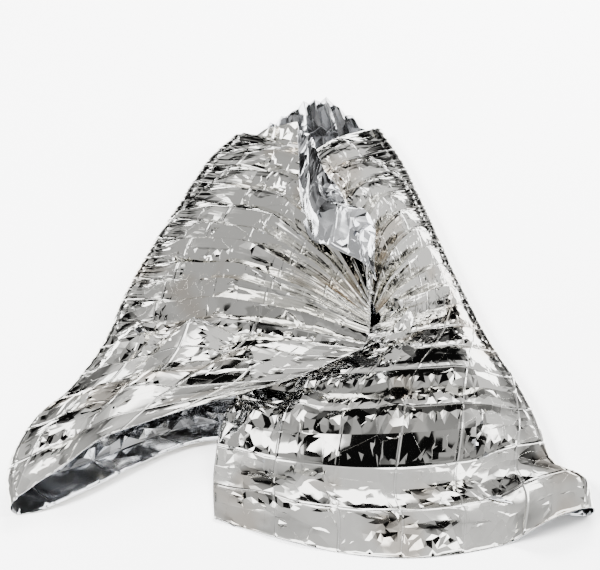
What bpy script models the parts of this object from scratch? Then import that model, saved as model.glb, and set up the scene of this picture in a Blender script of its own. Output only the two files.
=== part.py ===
"""Emergency foil blanket: one rectangle of crisp metallised film, wrapped as a closed cape and laid flat.

The sheet is described by its own flat coordinates. "along" runs from the left front edge, over the
left flap, the back and the right flap to the right front edge. "up" runs from the hem to the collar.
Every vertex of a flat grid is folded to its place by lay_sheet. Metres, +Z up, resting on z = 0.
"""

import functools
import math

import bmesh
import bpy
from mathutils import Vector

# The film as cut, and its thickness in this solid
ALONG = 2.10
UP = 1.30
THICKNESS = 0.0012

# Packing creases: the film was folded into this many panels up the sheet
PANEL_ROWS = 16
PANEL = UP / PANEL_ROWS
HALF_ROW = PANEL / 2
PANEL_COLUMNS = 20
HALF_COLUMN = ALONG / PANEL_COLUMNS / 2

# Level where the right front edge reaches the clutch: from there up it is gathered in pleats
RIGHT_CLUTCH = 0.58

# Width of the collar strip that is turned back over the left flap, the least strip that turns, the
# strip that turns right over, the radius of its roll, and how far below it the flap's run is read
LAPEL = 0.155
LAPEL_LEAST = 0.004
LAPEL_FULL = 0.075
LAPEL_ROLL = 0.010
LAPEL_PROBE = 0.015

# Pleats across the back, counted in half pleats, and the columns of each flap
BACK_HALF_PLEATS = 22
LEFT_COLUMNS = 11
RIGHT_COLUMNS = 12

# Side rolls, where the flaps turn over onto the back, and the gap that a flap leaves above them
ROLL_HEM = 0.017
ROLL_COLLAR = 0.021
ROLL_CLEAR = 0.004

# Heights: a flap's valleys at the hem and how much they gain by the collar, the lift of the left flap
# where it lies over the right one, and the swell and the packing ridges of the right flap
VALLEY = 0.047
VALLEY_GAIN = 0.014
OVERLAP_LIFT = 0.040
SWELL = 0.050
RIDGE = 0.012

# Where each shape starts and where it is full: levels up the sheet in metres
BACK_PLEATS_UP = (0.05, 0.30)
LEFT_PLEATS_UP = (0.02, 0.08)
RIGHT_PLEATS_UP = (RIGHT_CLUTCH - 0.10, RIGHT_CLUTCH)
SWELL_UP = (0.52, 0.24)
RIDGES_UP = (0.05, 0.13)
FLOOR_UP = (0.27, 0.045)

# The same as shares of a flap's row, from its side fold (0) to its front edge (1)
VALLEY_SHARE = (0.0, 0.15)
INNER_SHARE = (0.0, 0.22)
SWELL_SHARE = (0.0, 0.26)
SWELL_END = (0.95, 0.35)
OVERLAP_SHARE = (0.15, 0.45)
RIDGES_END = (1.15, 0.65)
GATHER_SHARE = (0.70, 1.0)
LAPEL_START = (0.06, 0.60)
LAPEL_TIP = (1.0, 0.50)

# The back's pleats fade out this far in from its side folds
BACK_INNER = (0.0, 0.12)

# Where the folds and front edges lie at a few levels up the sheet, in millimetres. A width is film
# from fold to front edge, and a bow is how far a row swings sideways from its straight line.
MM = 0.001
COLUMNS = (
    "up", "left_edge", "left_fold", "right_fold", "right_edge",
    "left_bow", "back_bow", "right_bow", "left_width", "right_width",
)
SECTIONS = (
    (0, (-122, -299), (-503, -498), (508, -502), (-150, -507), 18, 160, 84, 440, 660),
    (60, (-83, -286), (-518, -444), (502, -436), (-154, -452), 16, 140, 70, 470, 640),
    (120, (-44, -274), (-514, -380), (452, -400), (-154, -398), 14, 122, 62, 490, 610),
    (200, (5, -251), (-487, -303), (436, -325), (-142, -315), 12, 98, 50, 520, 580),
    (280, (54, -223), (-437, -240), (417, -249), (-98, -236), 11, 75, 40, 530, 560),
    (360, (93, -201), (-402, -172), (390, -176), (-15, -180), 10, 58, 28, 530, 530),
    (460, (119, -183), (-372, -92), (361, -104), (78, -136), 10, 45, 16, 520, 480),
    (580, (127, -155), (-352, 0), (334, -13), (148, -88), 12, 38, 0, 520, 410),
    (750, (129, -130), (-313, 124), (301, 108), (142, -68), 26, 36, -16, 530, 400),
    (1000, (130, -98), (-250, 297), (256, 287), (131, -38), 74, 50, -62, 570, 430),
    (1180, (132, -70), (-199, 423), (221, 413), (117, -14), 116, 88, -122, 610, 480),
    (1300, (134, -42), (-150, 497), (180, 520), (101, 0), 125, 140, -150, 640, 520),
)

# How far each ridge in turn falls short of its full height, as a share of the most it may
UNEVEN = (0.1, 0.7, 0.0, 0.4, 1.0, 0.2, 0.6)
BACK_UNEVEN = 0.25
PLEAT_UNEVEN = 0.2
RIDGE_UNEVEN = 0.3

# What is taken off: pleats at the gathered edge, ridges among pleats, ridges at the column creases,
# and the lapel's width at its tip
GATHER_LOSS = 0.6
RIDGE_LOSS = 0.8
COLUMN_LOSS = 0.4
LAPEL_LOSS = 0.65

# Where along a row its bow is widest
LEFT_WIDEST = 0.36
RIGHT_WIDEST = 0.5
RIGHT_WIDEST_GAIN = -0.13
BACK_WIDEST = 0.36
BACK_WIDEST_GAIN = 0.26

# The film lies this high where it touches the surface
FLOOR = THICKNESS / 2

FOIL = (0.72, 0.73, 0.74, 1.0)


def ramp(x, span):
    """0 before the start of the span, 1 past its end, and a soft step between."""
    x = min(max((x - span[0]) / (span[1] - span[0]), 0.0), 1.0)
    return x * x * (3 - 2 * x)


def zigzag(count, uneven=0.0):
    """0 at each even count and up to 1 at each odd one, straight between, with some ridges lower."""
    ridge = int(count // 2)
    return (1 - abs(count % 2 - 1)) * (1 - uneven * UNEVEN[ridge % len(UNEVEN)])


@functools.cache
def section_at(name, up):
    """The named column of SECTIONS at this level, on a smooth curve through its rows."""
    index = COLUMNS.index(name)
    levels = [row[0] * MM for row in SECTIONS]
    values = [(Vector(row[index]) if isinstance(row[index], tuple) else row[index]) * MM for row in SECTIONS]
    last = len(levels) - 1
    i = max(k for k in range(last) if levels[k] <= up or k == 0)
    step = levels[i + 1] - levels[i]
    x = (up - levels[i]) / step

    def slope(k):
        a, b = max(k - 1, 0), min(k + 1, last)
        return (values[b] - values[a]) * (step / (levels[b] - levels[a]))

    return (
        values[i] * (2 * x**3 - 3 * x**2 + 1)
        + slope(i) * (x**3 - 2 * x**2 + x)
        + values[i + 1] * (3 * x**2 - 2 * x**3)
        + slope(i + 1) * (x**3 - x**2)
    )


def side_roll(up):
    return ROLL_HEM + (ROLL_COLLAR - ROLL_HEM) * up / UP


def row_ends(zone, up):
    """Plan points where a layer's row starts and ends, its bow, and where along it the bow is widest."""
    start, end, widest = {
        "left": ("left_fold", "left_edge", LEFT_WIDEST),
        "right": ("right_fold", "right_edge", RIGHT_WIDEST + RIGHT_WIDEST_GAIN * up / UP),
        "back": ("left_fold", "right_fold", BACK_WIDEST + BACK_WIDEST_GAIN * up / UP),
    }[zone]
    return section_at(start, up), section_at(end, up), section_at(zone + "_bow", up), widest


def row_point(zone, share, up):
    """Plan point at this share of a layer's row."""
    start, end, bow, widest = row_ends(zone, up)
    chord = end - start
    side = Vector((-chord.y, chord.x)).normalized()
    swell = math.sin(math.pi / 2 * (share / widest if share < widest else (1 - share) / (1 - widest)))
    if zone == "back":
        swell **= 2
    return start + chord * share + side * bow * swell


def plan_point(zone, distance, width, up):
    """Plan point of the film at this distance from its side fold, along the row."""
    roll = side_roll(up)
    quarter = roll * math.pi / 2
    start, end, _, _ = row_ends(zone, up)
    length = (end - start).length
    ends = 2 if zone == "back" else 1
    from_right = zone == "back" and distance > width / 2
    inward = width - distance if from_right else distance
    if inward < quarter:
        reach = roll * (1 - math.cos(inward / roll))
    else:
        reach = roll + (inward - quarter) * (length - ends * roll) / (width - ends * quarter)
    share = reach / length
    return row_point(zone, 1 - share if from_right else share, up)


def pleat_height(half_pleat, spread):
    """Height of a pleat whose film, this long on each face, lies in a shorter plan length."""
    return half_pleat * math.sqrt(max(1 - min(spread, 1.0) ** 2, 0.0))


def row_spread(zone, distance, width, up):
    """Plan length of a short piece of film up the sheet, over its flat length."""
    low, high = max(up - HALF_ROW / 2, 0.0), min(up + HALF_ROW / 2, UP)
    piece = plan_point(zone, distance, width, high) - plan_point(zone, distance, width, low)
    return piece.length / (high - low)


def back_height(distance, width, up):
    """Height of the back: flat on the surface at the hem, then pleats that run up to the collar."""
    roll = side_roll(up)
    quarter = roll * math.pi / 2
    inward = min(distance, width - distance)
    if inward < quarter:
        return FLOOR + roll - roll * math.sin(inward / roll)
    half_pleat = (width - 2 * quarter) / BACK_HALF_PLEATS
    start, end, _, _ = row_ends("back", up)
    spread = ((end - start).length - 2 * roll) / (width - 2 * quarter)
    height = pleat_height(half_pleat, spread) * ramp(up, BACK_PLEATS_UP) * ramp(inward, BACK_INNER)
    return FLOOR + height * zigzag((distance - quarter) / half_pleat, BACK_UNEVEN)


def valley_level(zone, share, up):
    """Height of a flap's valleys over the surface, from its side fold (0) to its front edge (1)."""
    fold = 2 * side_roll(up) + ROLL_CLEAR
    level = VALLEY + VALLEY_GAIN * up / UP
    base = fold + (level - fold) * ramp(share, VALLEY_SHARE)
    if zone == "left":
        return base + OVERLAP_LIFT * ramp(share, OVERLAP_SHARE)
    swell = SWELL * ramp(share, SWELL_SHARE) * ramp(share, SWELL_END) * ramp(up, SWELL_UP)
    on_floor = ramp(share, INNER_SHARE) * ramp(up, FLOOR_UP)
    return (base + swell) * (1 - on_floor) + FLOOR * on_floor


def flap_height(zone, distance, width, up):
    """Height of a flap: pleats that fan out from the clutch, and packing ridges below it."""
    roll = side_roll(up)
    quarter = roll * math.pi / 2
    if distance < quarter:
        return FLOOR + roll + roll * math.sin(distance / roll)
    share = (distance - quarter) / (width - quarter)
    gathered = pleat_height(HALF_ROW, row_spread(zone, distance, width, up))
    if zone == "left":
        pleats = ramp(up, LEFT_PLEATS_UP)
        ridges = 0.0
    else:
        pleats = ramp(up, RIGHT_PLEATS_UP)
        ridges = RIDGE * ramp(up, RIDGES_UP) * ramp(share, RIDGES_END) * (1 - RIDGE_LOSS * pleats)
        ridges *= 1 - COLUMN_LOSS * zigzag(distance / HALF_COLUMN)
    pleats *= 1 - GATHER_LOSS * ramp(share, GATHER_SHARE)
    height = gathered * pleats * zigzag(up / HALF_ROW, PLEAT_UNEVEN)
    height += ridges * zigzag(up / PANEL, RIDGE_UNEVEN)
    return valley_level(zone, share, up) + height * ramp(share, INNER_SHARE)


def lay_layer(zone, distance, width, up):
    """Where a point of one layer lies before its collar is turned."""
    plan = plan_point(zone, distance, width, up)
    if zone == "back":
        return Vector((plan.x, plan.y, back_height(distance, width, up)))
    return Vector((plan.x, plan.y, flap_height(zone, distance, width, up)))


def lapel_width(share):
    """Film turned back at the collar of the left flap, from its side fold (0) to its front edge (1)."""
    return LAPEL * ramp(share, LAPEL_START) * (1 - LAPEL_LOSS * (1 - ramp(share, LAPEL_TIP)))


def turn_lapel(distance, width, up):
    """The collar strip of the left flap, rolled back over the flap so that its inside shows."""
    share = distance / width
    strip = lapel_width(share)
    start = UP - strip
    if strip < LAPEL_LEAST or up <= start:
        return lay_layer("left", distance, width, up)
    ground = lay_layer("left", distance, width, start)
    before = lay_layer("left", distance, width, start - LAPEL_PROBE)
    out = Vector((ground.x - before.x, ground.y - before.y, 0.0)).normalized()
    crest = pleat_height(HALF_ROW, row_spread("left", distance, width, start))
    crest += valley_level("left", share, start)
    ground.z += (crest - ground.z) * ramp(share, INNER_SHARE)
    most = math.pi * ramp(strip, (LAPEL_LEAST, LAPEL_FULL))
    turned = min((up - start) / LAPEL_ROLL, most)
    rest = up - start - turned * LAPEL_ROLL
    forward = LAPEL_ROLL * math.sin(turned) + rest * math.cos(turned)
    rise = LAPEL_ROLL * (1 - math.cos(turned)) + rest * math.sin(turned)
    return ground + out * forward + Vector((0.0, 0.0, rise))


def lay_sheet(along, up):
    """Where a point of the flat film lies in the wrapped and laid cape."""
    left = section_at("left_width", up)
    right = section_at("right_width", up)
    if along <= left:
        return turn_lapel(left - along, left, up)
    if along >= ALONG - right:
        return lay_layer("right", along - (ALONG - right), right, up)
    return lay_layer("back", along - left, ALONG - left - right, up)


def grid_columns(up):
    """Flat positions of the mesh columns at this level: closer together in the side rolls."""
    left = section_at("left_width", up)
    right = ALONG - section_at("right_width", up)
    quarter = side_roll(up) * math.pi / 2
    inside = (right - left - 2 * quarter) / BACK_HALF_PLEATS
    places = [(left - quarter) * i / LEFT_COLUMNS for i in range(LEFT_COLUMNS)]
    places += [left - quarter, left - quarter / 2, left, left + quarter / 2]
    places += [left + quarter + inside * i for i in range(BACK_HALF_PLEATS + 1)]
    places += [right - quarter / 2, right, right + quarter / 2]
    flap = right + quarter
    places += [flap + (ALONG - flap) * i / RIGHT_COLUMNS for i in range(RIGHT_COLUMNS + 1)]
    return places


def grid_rows():
    """Flat levels of the mesh rows: one at each ridge and valley, and twice as many in the turned collar."""
    plain = 2 * PANEL_ROWS - 3
    return [HALF_ROW * row for row in range(plain)] + [HALF_ROW * (plain + row / 2) for row in range(7)]


def make_film(name):
    """The flat film as a grid, folded to its place."""
    levels = grid_rows()
    rows = len(levels) - 1
    places = [grid_columns(up) for up in levels]
    columns = len(places[0]) - 1
    mesh = bpy.data.meshes.new(name)
    film = bmesh.new()
    bmesh.ops.create_grid(film, x_segments=columns, y_segments=rows, size=0.5)
    for vertex in film.verts:
        column = round((vertex.co.x + 0.5) * columns)
        row = round((vertex.co.y + 0.5) * rows)
        vertex.co = lay_sheet(places[row][column], levels[row])
    for axis in (0, 1):
        reach = [vertex.co[axis] for vertex in film.verts]
        middle = (min(reach) + max(reach)) / 2
        for vertex in film.verts:
            vertex.co[axis] -= middle
    bmesh.ops.triangulate(film, faces=film.faces)
    film.to_mesh(mesh)
    film.free()
    return mesh


def foil_material():
    material = bpy.data.materials.new("foil")
    material.use_nodes = True
    finish = material.node_tree.nodes["Principled BSDF"]
    finish.inputs["Base Color"].default_value = FOIL
    finish.inputs["Metallic"].default_value = 1.0
    finish.inputs["Roughness"].default_value = 0.12
    return material


def build():
    for old in list(bpy.data.objects):
        bpy.data.objects.remove(old)
    mesh = make_film("foil_blanket")
    mesh.materials.append(foil_material())
    blanket = bpy.data.objects.new("foil_blanket", mesh)
    bpy.context.scene.collection.objects.link(blanket)
    wall = blanket.modifiers.new("film thickness", "SOLIDIFY")
    wall.thickness = THICKNESS
    wall.offset = 0.0
    wall.use_even_offset = False
    wall.use_quality_normals = True


build()
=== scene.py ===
import math
import random

import bmesh
import bpy
import numpy as np
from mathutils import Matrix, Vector


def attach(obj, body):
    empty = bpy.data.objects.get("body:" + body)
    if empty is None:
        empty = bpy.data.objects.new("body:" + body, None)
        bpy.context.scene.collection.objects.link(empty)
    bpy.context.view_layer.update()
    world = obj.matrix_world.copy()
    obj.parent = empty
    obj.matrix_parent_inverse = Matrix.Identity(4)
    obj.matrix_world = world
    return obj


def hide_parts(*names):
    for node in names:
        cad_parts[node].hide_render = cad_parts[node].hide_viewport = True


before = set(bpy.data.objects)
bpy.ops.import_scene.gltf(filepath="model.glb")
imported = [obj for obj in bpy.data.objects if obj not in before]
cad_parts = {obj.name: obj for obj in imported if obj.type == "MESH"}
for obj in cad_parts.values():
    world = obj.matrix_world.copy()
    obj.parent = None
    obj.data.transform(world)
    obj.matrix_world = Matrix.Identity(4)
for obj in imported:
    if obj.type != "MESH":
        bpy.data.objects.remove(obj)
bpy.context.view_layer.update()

# The film as it is cut, in metres: along it from front edge to front edge, and up it from hem to collar
film = {
    "along": 2.10,
    "up": 1.30,
    "thickness": 0.0008,
    "panelRows": 16,
    "panelColumns": 20,
}
panelHeight = film["up"] / film["panelRows"]
panelWidth = film["along"] / film["panelColumns"]
halfRow = panelHeight / 2

# How it is wrapped and laid, as in the CAD source but with more relief. A pair is where a change starts and
# ends: in metres up the film for a name in Up, or as a share of the flap from its fold for a name in Share
wrap = {
    "rollHem": 0.017,
    "rollCollar": 0.021,
    "rollClear": 0.004,
    "valley": 0.047,
    "valleyGain": 0.014,
    "overlapLift": 0.040,
    "swell": 0.050,
    "ridge": 0.014,
    "backRidge": 0.013,
    "finePleat": 0.006,
    "backHalfPleats": 22,
    "gatherLoss": 0.6,
    "ridgeLoss": 0.8,
    "stepRidgeLoss": 0.68,
    "broadLoss": 0.95,
    "baseShare": (0.0, 0.15),
    "reliefShare": (0.0, 0.22),
    "overlapShare": (0.15, 0.45),
    "swellRiseShare": (0.0, 0.26),
    "swellFallShare": (0.95, 0.35),
    "leftPleatUp": (0.02, 0.08),
    "rightPleatUp": (0.54, 0.64),
    "finePleatUp": (0.60, 0.80),
    "ridgeUp": (0.05, 0.13),
    "ridgeShare": (1.15, 0.65),
    "stepRidgeUp": (0.64, 0.56),
    "stepRidgeShare": (0.12, 0.24),
    "gatherShare": (0.70, 1.0),
    "broadUp": (0.50, 0.40),
    "broadShare": (0.10, 0.22),
    "planShift": (0.00537, -0.03120),
}
backPleatUp, backCollarUp, backUnevenUp, backRidgeUp = (0.05, 0.30), (1.1, 1.3), (1.0, 1.3), (0.48, 0.36)
lapel = {
    "width": 0.155,
    "least": 0.004,
    "full": 0.075,
    "roll": 0.010,
    "probe": 0.015,
    "turn": math.radians(191),
    "tipLoss": 0.65,
    "startShare": (0.06, 0.60),
    "tipShare": (1.0, 0.50),
}
toothPeak = 0.125
unevenRidges = (0.1, 0.7, 0.0, 0.4, 1.0, 0.2, 0.6)

# Level, left edge, left fold, right fold, right edge, three bows and two widths, in millimetres
sections = (
    (0, (-122, -299), (-503, -498), (508, -502), (-150, -507), 18, 160, 84, 440, 660),
    (60, (-83, -286), (-518, -444), (502, -436), (-154, -452), 16, 140, 70, 470, 640),
    (120, (-44, -274), (-514, -380), (452, -400), (-154, -398), 14, 122, 62, 490, 610),
    (200, (5, -251), (-487, -303), (436, -325), (-142, -315), 12, 98, 50, 520, 580),
    (280, (54, -223), (-437, -240), (417, -249), (-98, -236), 11, 75, 40, 530, 560),
    (360, (93, -201), (-402, -172), (390, -176), (-15, -180), 10, 58, 28, 530, 530),
    (460, (119, -183), (-372, -92), (361, -104), (78, -136), 10, 45, 16, 520, 480),
    (580, (127, -155), (-352, 0), (334, -13), (148, -88), 12, 38, 0, 520, 410),
    (750, (129, -130), (-313, 124), (301, 108), (142, -68), 26, 36, -16, 530, 400),
    (1000, (130, -98), (-250, 297), (256, 287), (131, -38), 74, 50, -62, 570, 430),
    (1180, (132, -70), (-199, 423), (221, 413), (117, -14), 116, 88, -122, 610, 480),
    (1300, (134, -42), (-150, 497), (180, 520), (101, 0), 125, 140, -150, 640, 520),
)
millimetre = 0.001
sectionLevels = [row[0] * millimetre for row in sections]
sectionNames = (
    "leftEdge", "leftFold", "rightFold", "rightEdge", "leftBow", "backBow", "rightBow", "leftWidth", "rightWidth",
)
sectionValues = {
    name: [(Vector(row[k + 1]) if isinstance(row[k + 1], tuple) else row[k + 1]) * millimetre for row in sections]
    for k, name in enumerate(sectionNames)
}


def ramp(x, start, end):
    x = min(max((x - start) / (end - start), 0.0), 1.0)
    return x * x * (3 - 2 * x)


def zigzag(count, uneven=0.0):
    ridge = int(count // 2)
    return (1 - abs(count % 2 - 1)) * (1 - uneven * unevenRidges[ridge % len(unevenRidges)])


# A short face towards the hem and a long one towards the collar, 0 to 1
def sawtooth(count):
    place = count % 1
    return min(place / toothPeak, (1 - place) / (1 - toothPeak))


def sectionAt(name, up):
    values = sectionValues[name]
    last = len(sectionLevels) - 1
    i = max(k for k in range(last) if sectionLevels[k] <= up or k == 0)
    step = sectionLevels[i + 1] - sectionLevels[i]
    x = (up - sectionLevels[i]) / step

    def slope(k):
        a, b = max(k - 1, 0), min(k + 1, last)
        return (values[b] - values[a]) * (step / (sectionLevels[b] - sectionLevels[a]))

    return (
        values[i] * (2 * x**3 - 3 * x**2 + 1)
        + slope(i) * (x**3 - 2 * x**2 + x)
        + values[i + 1] * (3 * x**2 - 2 * x**3)
        + slope(i + 1) * (x**3 - x**2)
    )


# Everything that depends on the level alone, worked out once for each level
levelCache = {}


def levelAt(up):
    key = round(up, 5)
    if key not in levelCache:
        row = {name: sectionAt(name, up) for name in sectionNames}
        row["roll"] = wrap["rollHem"] + (wrap["rollCollar"] - wrap["rollHem"]) * up / film["up"]
        row["quarter"] = row["roll"] * math.pi / 2
        row["backWidth"] = film["along"] - row["leftWidth"] - row["rightWidth"]
        levelCache[key] = row
    return levelCache[key]


# Each zone's start, end, bow and width, where along it the bow is widest at the hem, and how far that moves up to
# the collar
rowEnds = {
    "left": ("leftFold", "leftEdge", "leftBow", "leftWidth", 0.36, 0.0),
    "right": ("rightFold", "rightEdge", "rightBow", "rightWidth", 0.5, -0.13),
    "back": ("leftFold", "rightFold", "backBow", "backWidth", 0.36, 0.26),
}


def planPoint(zone, distance, up):
    row = levelAt(up)
    startName, endName, bowName, widthName, widestAtHem, widestGain = rowEnds[zone]
    start, end, bow, width = row[startName], row[endName], row[bowName], row[widthName]
    chord = end - start
    length = chord.length
    ends = 2 if zone == "back" else 1
    fromRight = zone == "back" and distance > width / 2
    inward = width - distance if fromRight else distance
    if inward < row["quarter"]:
        reach = row["roll"] * (1 - math.cos(inward / row["roll"]))
    else:
        spread = (length - ends * row["roll"]) / (width - ends * row["quarter"])
        reach = row["roll"] + (inward - row["quarter"]) * spread
    share = 1 - reach / length if fromRight else reach / length
    side = Vector((-chord.y, chord.x)).normalized()
    widest = widestAtHem + widestGain * up / film["up"]
    swell = math.sin(math.pi / 2 * (share / widest if share < widest else (1 - share) / (1 - widest)))
    if zone == "back":
        swell **= 2
    return start + chord * share + side * bow * swell


def pleatHeight(halfPleat, spread):
    return halfPleat * math.sqrt(max(1 - min(spread, 1.0) ** 2, 0.0))


def rowSpread(zone, distance, up):
    low, high = max(up - halfRow / 2, 0.0), min(up + halfRow / 2, film["up"])
    low, high = round(low, 3), round(high, 3)
    return (planPoint(zone, distance, high) - planPoint(zone, distance, low)).length / (high - low)


def backHeight(distance, up):
    row = levelAt(up)
    width, roll, quarter = row["backWidth"], row["roll"], row["quarter"]
    inward = min(distance, width - distance)
    if inward < quarter:
        return roll - roll * math.sin(inward / roll)
    halfPleat = (width - 2 * quarter) / wrap["backHalfPleats"]
    spread = ((row["rightFold"] - row["leftFold"]).length - 2 * roll) / (width - 2 * quarter)
    uneven = 0.25 + 0.6 * ramp(up, *backUnevenUp)
    pleat = pleatHeight(halfPleat, spread) * ramp(up, *backPleatUp) * ramp(inward, 0.0, 0.12)
    pleat *= (1 - 0.5 * ramp(up, *backCollarUp)) * zigzag((distance - quarter) / halfPleat, uneven)
    ridge = wrap["backRidge"] * sawtooth(max(up / panelHeight, toothPeak))
    return pleat + ridge * ramp(inward, 0.03, 0.12) * ramp(up, *backRidgeUp)


# The right flap rises from the floor and falls again in flat steps: the level in half rows, then how much of
# the rise and of the swell is reached there
rightSteps = {
    "level": (0, 2, 4, 5, 5.4, 7, 7.3, 10, 14),
    "rise": (0, 0.09, 0.27, 0.64, 0.90, 0.75, 1.0, 0.95, 1.0),
    "swell": (1, 1, 1, 1, 1, 0.93, 0.93, 0.52, 0),
}


def valleyLevel(zone, share, up):
    fold = 2 * levelAt(up)["roll"] + wrap["rollClear"]
    level = wrap["valley"] + wrap["valleyGain"] * up / film["up"]
    base = fold + (level - fold) * ramp(share, *wrap["baseShare"])
    if zone == "left":
        return base + wrap["overlapLift"] * ramp(share, *wrap["overlapShare"])
    rise, swellHere = (
        float(np.interp(up / halfRow, rightSteps["level"], rightSteps[name])) for name in ("rise", "swell")
    )
    swell = wrap["swell"] * ramp(share, *wrap["swellRiseShare"]) * ramp(share, *wrap["swellFallShare"])
    onFloor = ramp(share, *wrap["reliefShare"]) * (1 - rise)
    return (base + swell * swellHere) * (1 - onFloor)


def flapHeight(zone, distance, width, up):
    row = levelAt(up)
    roll, quarter = row["roll"], row["quarter"]
    if distance < quarter:
        return roll + roll * math.sin(distance / roll)
    share = (distance - quarter) / (width - quarter)
    gathered = pleatHeight(halfRow, rowSpread(zone, distance, up))
    if zone == "left":
        pleats, ridges = ramp(up, *wrap["leftPleatUp"]), 0.0
        pleats *= 1 - wrap["broadLoss"] * ramp(share, *wrap["broadShare"]) * ramp(up, *wrap["broadUp"])
    else:
        pleats = ramp(up, *wrap["rightPleatUp"])
        ridges = wrap["ridge"] * ramp(up, *wrap["ridgeUp"]) * ramp(share, *wrap["ridgeShare"])
        ridges *= 1 - wrap["ridgeLoss"] * pleats
        ridges *= 1 - wrap["stepRidgeLoss"] * ramp(up, *wrap["stepRidgeUp"]) * ramp(share, *wrap["stepRidgeShare"])
    pleats *= 1 - wrap["gatherLoss"] * ramp(share, *wrap["gatherShare"])
    height = gathered * pleats * zigzag(up / halfRow, 0.2) + ridges * sawtooth(up / panelHeight)
    height += wrap["finePleat"] * ramp(up, *wrap["finePleatUp"]) * zigzag(2 * up / halfRow, 0.8)
    return valleyLevel(zone, share, up) + height * ramp(share, *wrap["reliefShare"])


def layLayer(zone, distance, width, up):
    plan = planPoint(zone, distance, up)
    height = backHeight(distance, up) if zone == "back" else flapHeight(zone, distance, width, up)
    return Vector((plan.x, plan.y, height))


# The collar strip of the left flap, rolled back so that its inside shows
def turnLapel(distance, width, up):
    share = distance / width
    strip = lapel["width"] * ramp(share, *lapel["startShare"])
    strip *= 1 - lapel["tipLoss"] * (1 - ramp(share, *lapel["tipShare"]))
    start = film["up"] - strip
    if strip < lapel["least"] or up <= start:
        return layLayer("left", distance, width, up)
    ground = layLayer("left", distance, width, start)
    before = layLayer("left", distance, width, start - lapel["probe"])
    out = Vector((ground.x - before.x, ground.y - before.y, 0.0)).normalized()
    crest = valleyLevel("left", share, start) + pleatHeight(halfRow, rowSpread("left", distance, start))
    ground.z += (crest - ground.z) * ramp(share, *wrap["reliefShare"])
    roll = lapel["roll"]
    turned = min((up - start) / roll, lapel["turn"] * ramp(strip, lapel["least"], lapel["full"]))
    rest = up - start - turned * roll
    forward = roll * math.sin(turned) + rest * math.cos(turned)
    rise = roll * (1 - math.cos(turned)) + rest * math.sin(turned)
    return ground + out * forward + Vector((0.0, 0.0, rise))


def laySheet(along, up):
    row = levelAt(up)
    left, right = row["leftWidth"], row["rightWidth"]
    if along <= left:
        place = turnLapel(left - along, left, up)
    elif along >= film["along"] - right:
        place = layLayer("right", along - (film["along"] - right), right, up)
    else:
        place = layLayer("back", along - left, row["backWidth"], up)
    shiftX, shiftY = wrap["planShift"]
    return place + Vector((shiftX, shiftY, film["thickness"] / 2))


# The flat net of creases: its columns follow the folds, and its rows are the packing creases and pleats
net = {"rows": 32, "knots": (0, 11, 15, 37, 41, 53), "leftFlapEnd": 12.5, "rightFlapStart": 39.5, "seed": 7}


def alongAt(column, up):
    row = levelAt(up)
    left, right, quarter = row["leftWidth"], film["along"] - row["rightWidth"], row["quarter"]
    places = (0.0, left - quarter, left + quarter, right - quarter, right + quarter, film["along"])
    return float(np.interp(column, net["knots"], places))


flapClear = 0.001

# Each step of creasing: the usual lift in metres, how often a sharp dent comes and how deep, and the sideways pull
crumple = (
    {"lift": 0.0012, "chance": 0.30, "dent": 0.0100, "sway": 0.0},
    {"lift": 0.0012, "chance": 0.22, "dent": 0.0070, "sway": 0.26},
    {"lift": 0.0003, "chance": 0.10, "dent": 0.0014, "sway": 0.12},
    {"lift": 0.00005, "chance": 0.04, "dent": 0.0003, "sway": 0.05},
)

# Single large facets seen in the photo. Each is a pyramid of creases: its column and row in the net, its
# reach to the left, right, down and up, and its height in metres
facets = (
    (6.8, 10.0, 1.5, 1.6, 3.0, 1.0, 0.042),
    (3.4, 7.0, 1.8, 1.6, 3.0, 0.8, 0.040),
    (9.4, 10.2, 1.3, 1.4, 3.2, 1.0, 0.040),
    (6.2, 5.0, 1.5, 1.5, 3.0, 0.8, 0.024),
    (8.8, 5.4, 1.3, 1.3, 3.2, 0.8, 0.022),
    (3.6, 8.3, 1.8, 1.6, 0.5, 3.0, 0.018),
    (8.0, 18.2, 3.6, 3.4, 0.5, 1.6, 0.024),
    (9.4, 2.6, 1.5, 1.5, 0.5, 1.2, 0.010),
    (48.6, 13.4, 0.9, 1.0, 2.2, 0.6, 0.026),
    (50.6, 15.0, 1.0, 0.9, 0.4, 1.9, 0.014),
    (47.3, 9.6, 1.2, 1.0, 1.0, 1.0, 0.016),
    (46.4, 5.6, 0.7, 0.7, 0.4, 1.3, 0.010),
    (44.6, 6.6, 0.8, 0.9, 0.5, 1.2, 0.010),
    (50.2, 6.2, 0.8, 0.9, 1.6, 1.6, 0.018),
    (51.9, 5.0, 0.6, 0.7, 2.0, 1.4, 0.014),
    (51.2, 2.0, 1.0, 1.2, 0.4, 1.3, 0.016),
    (49.6, 3.2, 0.9, 0.8, 1.4, 0.5, 0.009),
    (44.4, 2.3, 0.9, 1.0, 0.3, 0.9, 0.014),
    (45.6, 2.3, 0.7, 0.9, 0.3, 0.7, 0.010),
    (47.4, 1.0, 1.0, 0.9, 0.3, 0.7, 0.010),
    (45.8, 0.7, 0.8, 1.0, 0.3, 0.6, 0.010),
    (3.6, 30.2, 3.6, 3.2, 0.6, 1.7, -0.032),
)


def facetLift(column, row):
    lift = 0.0
    for middle, level, toLeft, toRight, toHem, toCollar, height in facets:
        across = (column - middle) / toRight if column > middle else (middle - column) / toLeft
        along = (row - level) / toCollar if row > level else (level - row) / toHem
        lift += height * max(0.0, 1 - max(across, along))
    return lift


def isFlap(vertex):
    return vertex.co.x < net["leftFlapEnd"] or vertex.co.x > net["rightFlapStart"]


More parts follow.
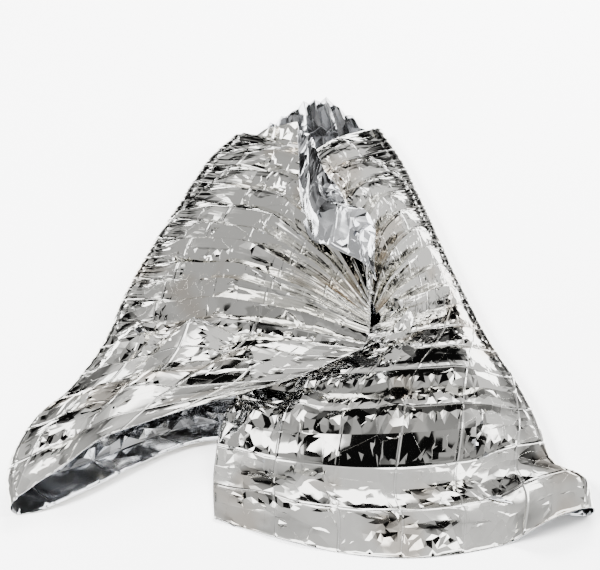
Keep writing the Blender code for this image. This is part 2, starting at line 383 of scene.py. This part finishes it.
def creaseVertex(vertex, step, chance):
    lift = chance.uniform(-1, 1) * step["lift"]
    if chance.random() < step["chance"]:
        lift += chance.choice((-1, 1)) * chance.uniform(0.5, 1.0) * step["dent"]
    vertex.co.z += lift
    onRow = abs(vertex.co.y - round(vertex.co.y)) < 1e-4
    onColumn = abs(vertex.co.x - round(vertex.co.x)) < 1e-4
    if not onColumn:
        vertex.co.x += chance.uniform(-1, 1) * step["sway"]
    if not onRow:
        vertex.co.y += chance.uniform(-1, 1) * step["sway"]


def makeNet():
    chance = random.Random(net["seed"])
    flat = bmesh.new()
    columns, rows = net["knots"][-1], net["rows"]
    bmesh.ops.create_grid(flat, x_segments=columns, y_segments=rows, size=0.5)
    for vertex in flat.verts:
        vertex.co.x = round((vertex.co.x + 0.5) * columns)
        vertex.co.y = round((vertex.co.y + 0.5) * rows)
        creaseVertex(vertex, crumple[0], chance)
    before = set(flat.verts)
    bmesh.ops.poke(flat, faces=flat.faces)
    for vertex in [v for v in flat.verts if v not in before]:
        creaseVertex(vertex, crumple[1], chance)
    for step in crumple[2:]:
        before = set(flat.verts)
        edges = list(flat.edges)
        if step is crumple[-1]:
            edges = [e for e in flat.edges if isFlap(e.verts[0]) or isFlap(e.verts[1])]
        bmesh.ops.subdivide_edges(flat, edges=edges, cuts=1, use_grid_fill=True)
        for vertex in [v for v in flat.verts if v not in before]:
            creaseVertex(vertex, step, chance)
    bmesh.ops.triangulate(flat, faces=flat.faces)
    return flat


# How much of the random creasing stays: least where the film is gathered and low on the flaps
def creaseShare(zone, inward, up):
    share = min(1.0, 1.25 * rowSpread(zone, inward, up)) ** 2
    if zone == "right":
        return share * (0.24 + 0.66 * ramp(up, 1.00, 1.15))
    share *= 0.4 + 0.5 * ramp(up, 0.90, 1.05) - 0.3 * ramp(up, 0.52, 0.44)
    return share + 0.7 * ramp(up, 1.15, 1.20)


def foldFilm(flat):
    uvLayer = flat.loops.layers.uv.new("flatCut")
    lifts = {}
    cuts = {}
    for vertex in flat.verts:
        up = min(max(vertex.co.y * halfRow, 0.0), film["up"])
        up = round(up, 4)
        along = alongAt(vertex.co.x, up)
        lifts[vertex] = (vertex.co.z, facetLift(vertex.co.x, vertex.co.y))
        cuts[vertex] = (along, up)
        vertex.co = laySheet(along, up)
    for face in flat.faces:
        for loop in face.loops:
            loop[uvLayer].uv = cuts[loop.vert]
    flat.normal_update()
    floorLevel = film["thickness"] / 2
    for vertex in flat.verts:
        along, up = cuts[vertex]
        row = levelAt(up)
        inBack = row["leftWidth"] < along < film["along"] - row["rightWidth"]
        lift, large = lifts[vertex]
        if inBack:
            vertex.co += vertex.normal * max(lift, 0.0) * 0.35 * ramp(up, 0.10, 0.20)
        else:
            zone = "left" if along < film["along"] / 2 else "right"
            inward = row["leftWidth"] - along if zone == "left" else along - (film["along"] - row["rightWidth"])
            lift = lift * creaseShare(zone, inward, up) + large
            vertex.co -= vertex.normal * (lift + flapClear) * ramp(inward, 0.02, 0.10)
        vertex.co.z = max(vertex.co.z, floorLevel)


flat = makeNet()
print("net of creases", len(flat.faces), "faces")
foldFilm(flat)
mesh = bpy.data.meshes.new("foilSheet")
flat.to_mesh(mesh)
flat.free()
mesh.shade_smooth()
mesh.set_sharp_from_angle(angle=math.radians(6))
foilSheet = bpy.data.objects.new("foilSheet", mesh)
bpy.context.scene.collection.objects.link(foilSheet)
wall = foilSheet.modifiers.new("film thickness", "SOLIDIFY")
wall.thickness = film["thickness"]
wall.offset = 0.0
wall.use_even_offset = False
wall.use_quality_normals = True
wall.material_offset = 1
print("film folded")


# Materials
def newMaterial(name):
    material = bpy.data.materials.new(name)
    material.use_nodes = True
    return material, material.node_tree, material.node_tree.nodes["Principled BSDF"]


def addNode(tree, kind, settings=None, inputs=None):
    node = tree.nodes.new(kind)
    for key, value in (settings or {}).items():
        setattr(node, key, value)
    for key, value in (inputs or {}).items():
        if isinstance(value, bpy.types.NodeSocket):
            tree.links.new(value, node.inputs[key])
        else:
            node.inputs[key].default_value = value
    return node


def addMath(tree, operation, first, second=0.0):
    return addNode(tree, "ShaderNodeMath", {"operation": operation}, {0: first, 1: second}).outputs[0]


def addVectorMath(tree, operation, first, second):
    return addNode(tree, "ShaderNodeVectorMath", {"operation": operation}, {0: first, 1: second}).outputs[0]


# Sockets 6 and 7 of the mix node are its two colours
def mixColors(tree, factor, first, second):
    return addNode(
        tree, "ShaderNodeMix", {"data_type": "RGBA"}, {"Factor": factor, 6: first, 7: second},
    ).outputs[2]


def addRamp(tree, value, low, high, start=0.0, end=1.0):
    return addNode(
        tree, "ShaderNodeMapRange", {"interpolation_type": "SMOOTHSTEP"},
        {"Value": value, "From Min": low, "From Max": high, "To Min": start, "To Max": end},
    ).outputs["Result"]


def addNoise(tree, vector, scale, detail):
    return addNode(
        tree, "ShaderNodeTexNoise", {"noise_dimensions": "2D"},
        {"Vector": vector, "Scale": scale, "Detail": detail, "Roughness": 0.5},
    ).outputs["Fac"]


middleGrey = (0.5, 0.5, 0.5)


# Flat facets, each with its own small tilt
def addFacets(tree, vector, scale, slope):
    cells = addNode(
        tree, "ShaderNodeTexVoronoi", {"voronoi_dimensions": "2D", "feature": "F1"},
        {"Vector": vector, "Scale": scale, "Randomness": 1.0},
    ).outputs
    offset = addVectorMath(tree, "SUBTRACT", vector, cells["Position"])
    tilt = addVectorMath(tree, "SUBTRACT", cells["Color"], middleGrey)
    rise = addNode(tree, "ShaderNodeVectorMath", {"operation": "DOT_PRODUCT"}, {0: offset, 1: tilt}).outputs["Value"]
    return addMath(tree, "MULTIPLY", rise, slope)


# Widths in metres, and scales as the number of noise cells in a metre of the flat film
crinkleForm = {
    "creaseWidth": 0.0035,
    "wearStart": 0.0003,
    "wearEnd": 0.0012,
    "wearMost": 0.7,
    "sharpScale": 5.0,
    "broadScale": 15.0,
    "crumpledScale": 3.2,
    "fineScale": 46.0,
    "streakScale": (3.0, 70.0, 1.0),
    "streakFromEdge": (0.85, 0.30),
    "streakUp": (0.50, 0.64),
    "waveScale": 8.0,
    "tintScale": 7.0,
}


# Packing creases, small facets and gathered streaks, shared by the outside and the inside of the film
def makeCrinkleGroup():
    group = bpy.data.node_groups.new("filmCrinkle", "ShaderNodeTree")
    for name in ("Crease Height", "Facet Slope", "Crumple Slope", "Streak Height", "Wave Height"):
        group.interface.new_socket(name, in_out="INPUT", socket_type="NodeSocketFloat")
    for name in ("Height", "Wear", "Tint"):
        group.interface.new_socket(name, in_out="OUTPUT", socket_type="NodeSocketFloat")
    given = group.nodes.new("NodeGroupInput").outputs
    result = group.nodes.new("NodeGroupOutput").inputs
    flatCut = addNode(group, "ShaderNodeUVMap", {"uv_map": "flatCut"}).outputs["UV"]
    place = addNode(group, "ShaderNodeSeparateXYZ", {}, {"Vector": flatCut}).outputs
    toColumn = addMath(group, "PINGPONG", place["X"], panelWidth / 2)
    toRow = addMath(group, "PINGPONG", place["Y"], panelHeight / 2)
    toCrease = addMath(group, "MINIMUM", toColumn, toRow)
    patches = addNoise(group, flatCut, crinkleForm["sharpScale"], 1.0)
    sharp = addRamp(group, patches, 0.32, 0.60, 0.25, 1.0)
    crease = addRamp(group, toCrease, 0.0, crinkleForm["creaseWidth"], 1.0, 0.0)
    crease = addMath(group, "MULTIPLY", crease, given["Crease Height"])
    crease = addMath(group, "MULTIPLY", crease, sharp)
    broad = addFacets(group, flatCut, crinkleForm["broadScale"], given["Facet Slope"])
    crumpled = addRamp(group, addNoise(group, flatCut, crinkleForm["crumpledScale"], 2.0), 0.56, 0.70)
    fine = addFacets(group, flatCut, crinkleForm["fineScale"], given["Crumple Slope"])
    fine = addMath(group, "MULTIPLY", fine, crumpled)
    stretched = addVectorMath(group, "MULTIPLY", flatCut, crinkleForm["streakScale"])
    edge = addMath(group, "PINGPONG", place["X"], film["along"] / 2)
    nearEdge = addRamp(group, edge, *crinkleForm["streakFromEdge"])
    gathered = addMath(group, "MULTIPLY", nearEdge, addRamp(group, place["Y"], *crinkleForm["streakUp"]))
    streaks = addMath(group, "MULTIPLY", addNoise(group, stretched, 1.0, 1.0), gathered)
    streaks = addMath(group, "MULTIPLY", streaks, given["Streak Height"])
    waves = addMath(group, "MULTIPLY", addNoise(group, flatCut, crinkleForm["waveScale"], 1.0), given["Wave Height"])
    total = crease
    for part in (broad, fine, streaks, waves):
        total = addMath(group, "ADD", total, part)
    group.links.new(total, result["Height"])
    wear = addRamp(
        group, toCrease, crinkleForm["wearStart"], crinkleForm["wearEnd"], crinkleForm["wearMost"], 0.0,
    )
    group.links.new(addMath(group, "MULTIPLY", wear, sharp), result["Wear"])
    tint = addRamp(group, addNoise(group, flatCut, crinkleForm["tintScale"], 2.0), 0.56, 0.70)
    group.links.new(tint, result["Tint"])
    return group


crinkle = makeCrinkleGroup()


def makeFoil(name, finish):
    material, tree, shader = newMaterial(name)
    fine = addNode(tree, "ShaderNodeGroup", {"node_tree": crinkle}, finish["crinkle"]).outputs
    tinted = mixColors(tree, fine["Tint"], finish["color"], finish["tint"])
    worn = mixColors(tree, fine["Wear"], tinted, finish["wornColor"])
    tree.links.new(worn, shader.inputs["Base Color"])
    rough = addRamp(tree, fine["Wear"], 0.0, 1.0, finish["roughness"], finish["wornRoughness"])
    tree.links.new(rough, shader.inputs["Roughness"])
    shader.inputs["Metallic"].default_value = 1.0
    bump = addNode(tree, "ShaderNodeBump", {}, {"Strength": 1.0, "Distance": 1.0, "Height": fine["Height"]})
    tree.links.new(bump.outputs["Normal"], shader.inputs["Normal"])
    return material


# The grid's upper side becomes the inside of the cape, so the inside finish comes first
insideFoil = makeFoil("foilInside", {
    "color": (0.73, 0.74, 0.76, 1),
    "tint": (0.64, 0.64, 0.63, 1),
    "wornColor": (0.92, 0.93, 0.95, 1),
    "roughness": 0.14,
    "wornRoughness": 0.34,
    "crinkle": {
        "Crease Height": 0.0008,
        "Facet Slope": 0.18,
        "Crumple Slope": 0.24,
        "Streak Height": 0.0008,
        "Wave Height": 0.001,
    },
})
outsideFoil = makeFoil("foilOutside", {
    "color": (0.84, 0.83, 0.79, 1),
    "tint": (0.72, 0.67, 0.60, 1),
    "wornColor": (0.94, 0.94, 0.92, 1),
    "roughness": 0.06,
    "wornRoughness": 0.24,
    "crinkle": {
        "Crease Height": 0.0010,
        "Facet Slope": 0.09,
        "Crumple Slope": 0.18,
        "Streak Height": 0.0024,
        "Wave Height": 0.002,
    },
})
mesh.materials.append(insideFoil)
mesh.materials.append(outsideFoil)
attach(foilSheet, "root")
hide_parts("foil_blanket")
print("foil finished")

# Studio: a pale floor, soft lights, a structured surround for the foil to mirror, and the camera
studio = {"floorSize": 14.0, "floorColor": (0.93, 0.93, 0.93, 1.0)}
floorMesh = bpy.data.meshes.new("floor")
floorShape = bmesh.new()
bmesh.ops.create_grid(floorShape, x_segments=1, y_segments=1, size=studio["floorSize"] / 2)
floorShape.to_mesh(floorMesh)
floorShape.free()
floor = bpy.data.objects.new("floor", floorMesh)
bpy.context.scene.collection.objects.link(floor)
floorMaterial, _, floorShader = newMaterial("paleFloor")
floorShader.inputs["Base Color"].default_value = studio["floorColor"]
floorShader.inputs["Roughness"].default_value = 0.9
floorMesh.materials.append(floorMaterial)


# A softbox lights the floor and the film, but the film doesn't mirror it
def addSoftbox(name, place, aim, size, power):
    light = bpy.data.lights.new(name, "AREA")
    light.shape = "RECTANGLE"
    light.size, light.size_y = size
    light.energy = power
    holder = bpy.data.objects.new(name, light)
    holder.location = place
    holder.visible_glossy = False
    holder.rotation_euler = (Vector(aim) - Vector(place)).to_track_quat("-Z", "Y").to_euler()
    bpy.context.scene.collection.objects.link(holder)


for name, place, aim, size, power in (
    ("keySoftbox", (-2.2, -0.6, 2.6), (0, 0, 0), (1.6, 1.2), 520),
    ("backSoftbox", (0.6, 2.6, 2.2), (0, 0, 0), (2.4, 0.9), 520),
    ("rightSoftbox", (2.6, 0.4, 1.6), (0, 0, 0), (0.8, 1.6), 240),
):
    addSoftbox(name, place, aim, size, power)


# What the foil mirrors. A band is its height over the far horizon in degrees, where 180 is the horizon behind
# the camera, and its brightness
surround = {
    "paleBands": (
        (0, 0.40), (12, 0.16), (26, 0.09), (34, 0.24), (45, 0.66), (60, 1.00), (74, 1.20), (79, 6.00),
        (101, 6.00), (106, 1.00), (118, 0.45), (136, 0.42), (150, 0.50), (180, 0.70),
    ),
    "darkBands": (
        (0, 0.08), (3, 0.02), (6, 0.005), (33, 0.005), (38, 0.20), (45, 0.54), (60, 0.92), (75, 1.10), (80, 5.50),
        (97, 5.50), (100, 0.40), (104, 0.03), (107, 0.005), (144, 0.005), (154, 0.25), (180, 0.50),
    ),
    "leftSide": 0.55,
    "rightSide": 1.10,
    "sideStart": 0.50,
    "sideEnd": 0.75,
    "sideChange": (0.45, 0.55),
    "driftScale": 2.5,
    "drift": 0.35,
    "mixScale": 3.4,
    "mixSide": 0.25,
    "mixRange": (0.56, 0.62),
    "backdrop": (0.9, 0.9, 0.9, 1.0),
}


def addTones(tree, value, stops):
    node = addNode(tree, "ShaderNodeValToRGB", {}, {"Fac": value})
    elements = node.color_ramp.elements
    while len(elements) < len(stops):
        elements.new(1.0)
    for element, (position, tone) in zip(elements, stops):
        element.position = position
        element.color = (tone, tone, tone, 1.0)
    return node.outputs["Color"]


def makeSurround():
    world = bpy.data.worlds.new("studioSurround")
    bpy.context.scene.world = world
    world.use_nodes = True
    tree = world.node_tree
    direction = addNode(tree, "ShaderNodeTexCoord").outputs["Generated"]
    drift = addNode(
        tree, "ShaderNodeTexNoise", {"noise_dimensions": "3D"},
        {"Vector": direction, "Scale": surround["driftScale"], "Detail": 1.5, "Roughness": 0.5},
    ).outputs["Color"]
    drift = addVectorMath(tree, "SUBTRACT", drift, middleGrey)
    drift = addVectorMath(tree, "MULTIPLY", drift, (surround["drift"],) * 3)
    axes = addNode(tree, "ShaderNodeSeparateXYZ", {}, {"Vector": addVectorMath(tree, "ADD", direction, drift)}).outputs
    rise = addMath(tree, "ARCTAN2", axes["Z"], axes["Y"])
    share = addMath(tree, "DIVIDE", rise, math.pi)
    pale, dark = (
        addTones(tree, share, [(degrees / 180, tone) for degrees, tone in surround[name]])
        for name in ("paleBands", "darkBands")
    )
    where = addNode(
        tree, "ShaderNodeTexNoise", {"noise_dimensions": "3D"},
        {"Vector": direction, "Scale": surround["mixScale"], "Detail": 1.0},
    ).outputs["Fac"]
    sideways = addMath(tree, "ABSOLUTE", axes["X"])
    lateral = addMath(tree, "ADD", where, addMath(tree, "MULTIPLY", sideways, surround["mixSide"]))
    bands = mixColors(tree, addRamp(tree, lateral, *surround["mixRange"]), dark, pale)
    leftToRight = addMath(tree, "ADD", addMath(tree, "MULTIPLY", axes["X"], 0.5), 0.5)
    sideTones = (surround["leftSide"], surround["rightSide"])
    sides = addTones(tree, leftToRight, list(zip(surround["sideChange"], sideTones)))
    aside = addRamp(tree, sideways, surround["sideStart"], surround["sideEnd"])
    mirrored = mixColors(tree, aside, bands, sides)
    seen = addNode(tree, "ShaderNodeLightPath").outputs["Is Camera Ray"]
    plain = mixColors(tree, seen, mirrored, surround["backdrop"])
    backdrop = tree.nodes["Background"]
    tree.links.new(plain, backdrop.inputs["Color"])
    backdrop.inputs["Strength"].default_value = 1.0


makeSurround()

view = {"distance": 3.045, "elevation": 45.0, "fieldOfView": 21.6, "aim": (0.004, -0.0475, 0.042), "upShift": 0.030}
elevation = math.radians(view["elevation"])
back = Vector((0.0, -math.cos(elevation), math.sin(elevation)))
upward = Vector((0.0, math.sin(elevation), math.cos(elevation)))
camera = bpy.data.objects.new("camera", bpy.data.cameras.new("camera"))
camera.data.sensor_fit = "HORIZONTAL"
camera.data.angle = math.radians(view["fieldOfView"])
camera.data.clip_end = 50
camera.location = Vector(view["aim"]) + upward * view["upShift"] + back * view["distance"]
camera.rotation_euler = (-back).to_track_quat("-Z", "Y").to_euler()
bpy.context.scene.collection.objects.link(camera)
bpy.context.scene.camera = camera
